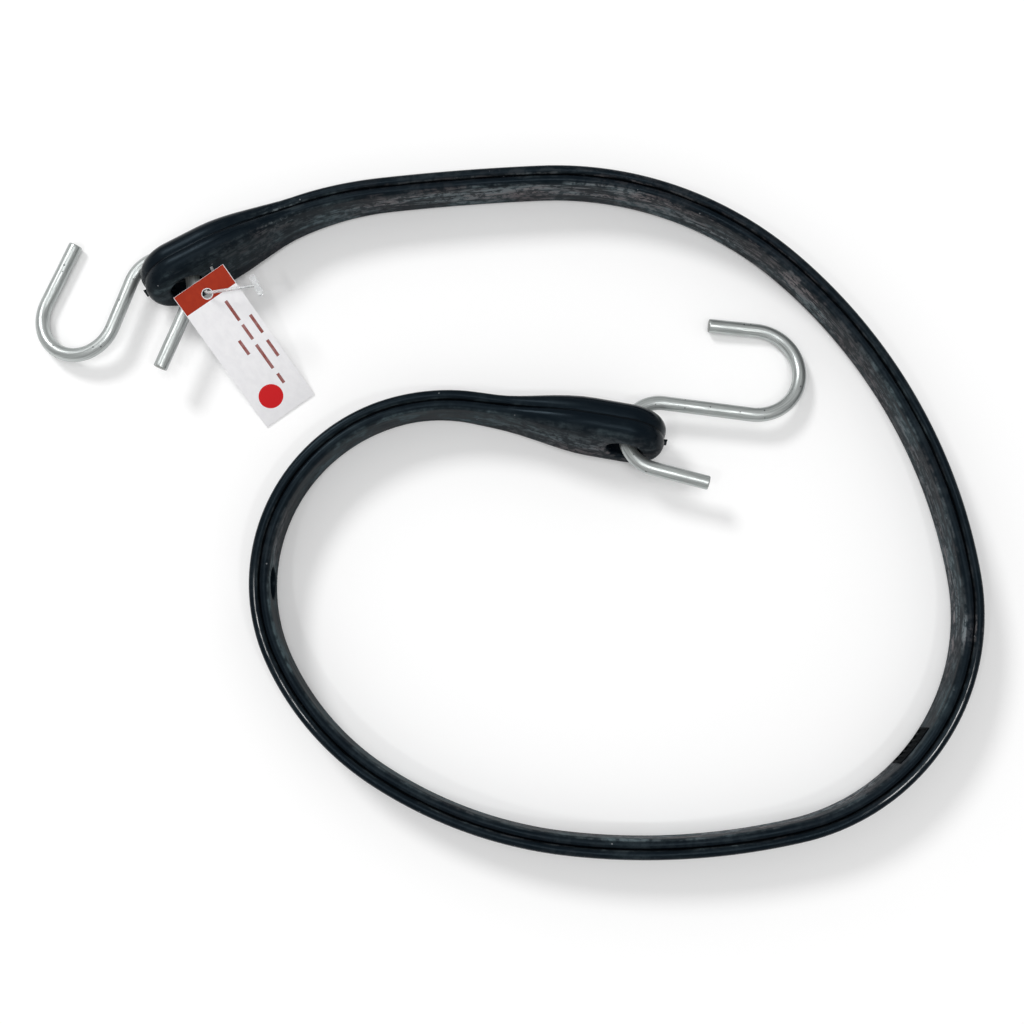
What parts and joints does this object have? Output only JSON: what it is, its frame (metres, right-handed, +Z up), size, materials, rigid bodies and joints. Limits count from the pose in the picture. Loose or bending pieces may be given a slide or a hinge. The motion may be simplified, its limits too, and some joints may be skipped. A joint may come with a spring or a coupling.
{
  "type": "tarp strap",
  "caption": "Rubber tarp strap bent into an open loop, with a thick eye at each end, wire S-hooks through the eyes and a hang tag on a plastic fastener.",
  "frame": {"origin": "on the floor under the middle of the whole row's box, as the strap lies", "axes": "+X to the right of the loop as the picture shows it, +Y away from the viewer, +Z up from the floor"},
  "size_m": [0.2929, 0.212, 0.0252],
  "materials": {
    "rubber": "moulded, satin, with pale dusty scuffs",
    "galvanised_wire": "zinc coated, drawn",
    "card": "smooth white with a rust-orange band",
    "clear_nylon": "clear, slightly milky"
  },
  "bodies": {
    "strap_body": {"strap": "rubber", "tag_fastener": "clear_nylon"},
    "hook_left": {"s_hook_left": "galvanised_wire"},
    "hook_right": {"s_hook_right": "galvanised_wire"},
    "tag": {"hang_tag": "card"}
  },
  "joints": [
    {"name": "left_hook_hinge", "type": "hinge", "parent": "strap_body", "child": "hook_left", "pos_m": [-0.0988, 0.07383, 0.01225], "axis": [-0.4562, 0.8653, -0.2079], "range_deg": [-105, 40]},
    {"name": "right_hook_hinge", "type": "hinge", "parent": "strap_body", "child": "hook_right", "pos_m": [0.04009, 0.02257, 0.01225], "axis": [0.1732, 0.9627, -0.2079], "range_deg": [-170, 170]},
    {"name": "tag_hinge", "type": "hinge", "parent": "strap_body", "child": "tag", "pos_m": [-0.08862, 0.06483, 0.02289], "axis": [0.2852, -0.4013, 0.8704], "range_deg": [-20, 35]}
  ]
}
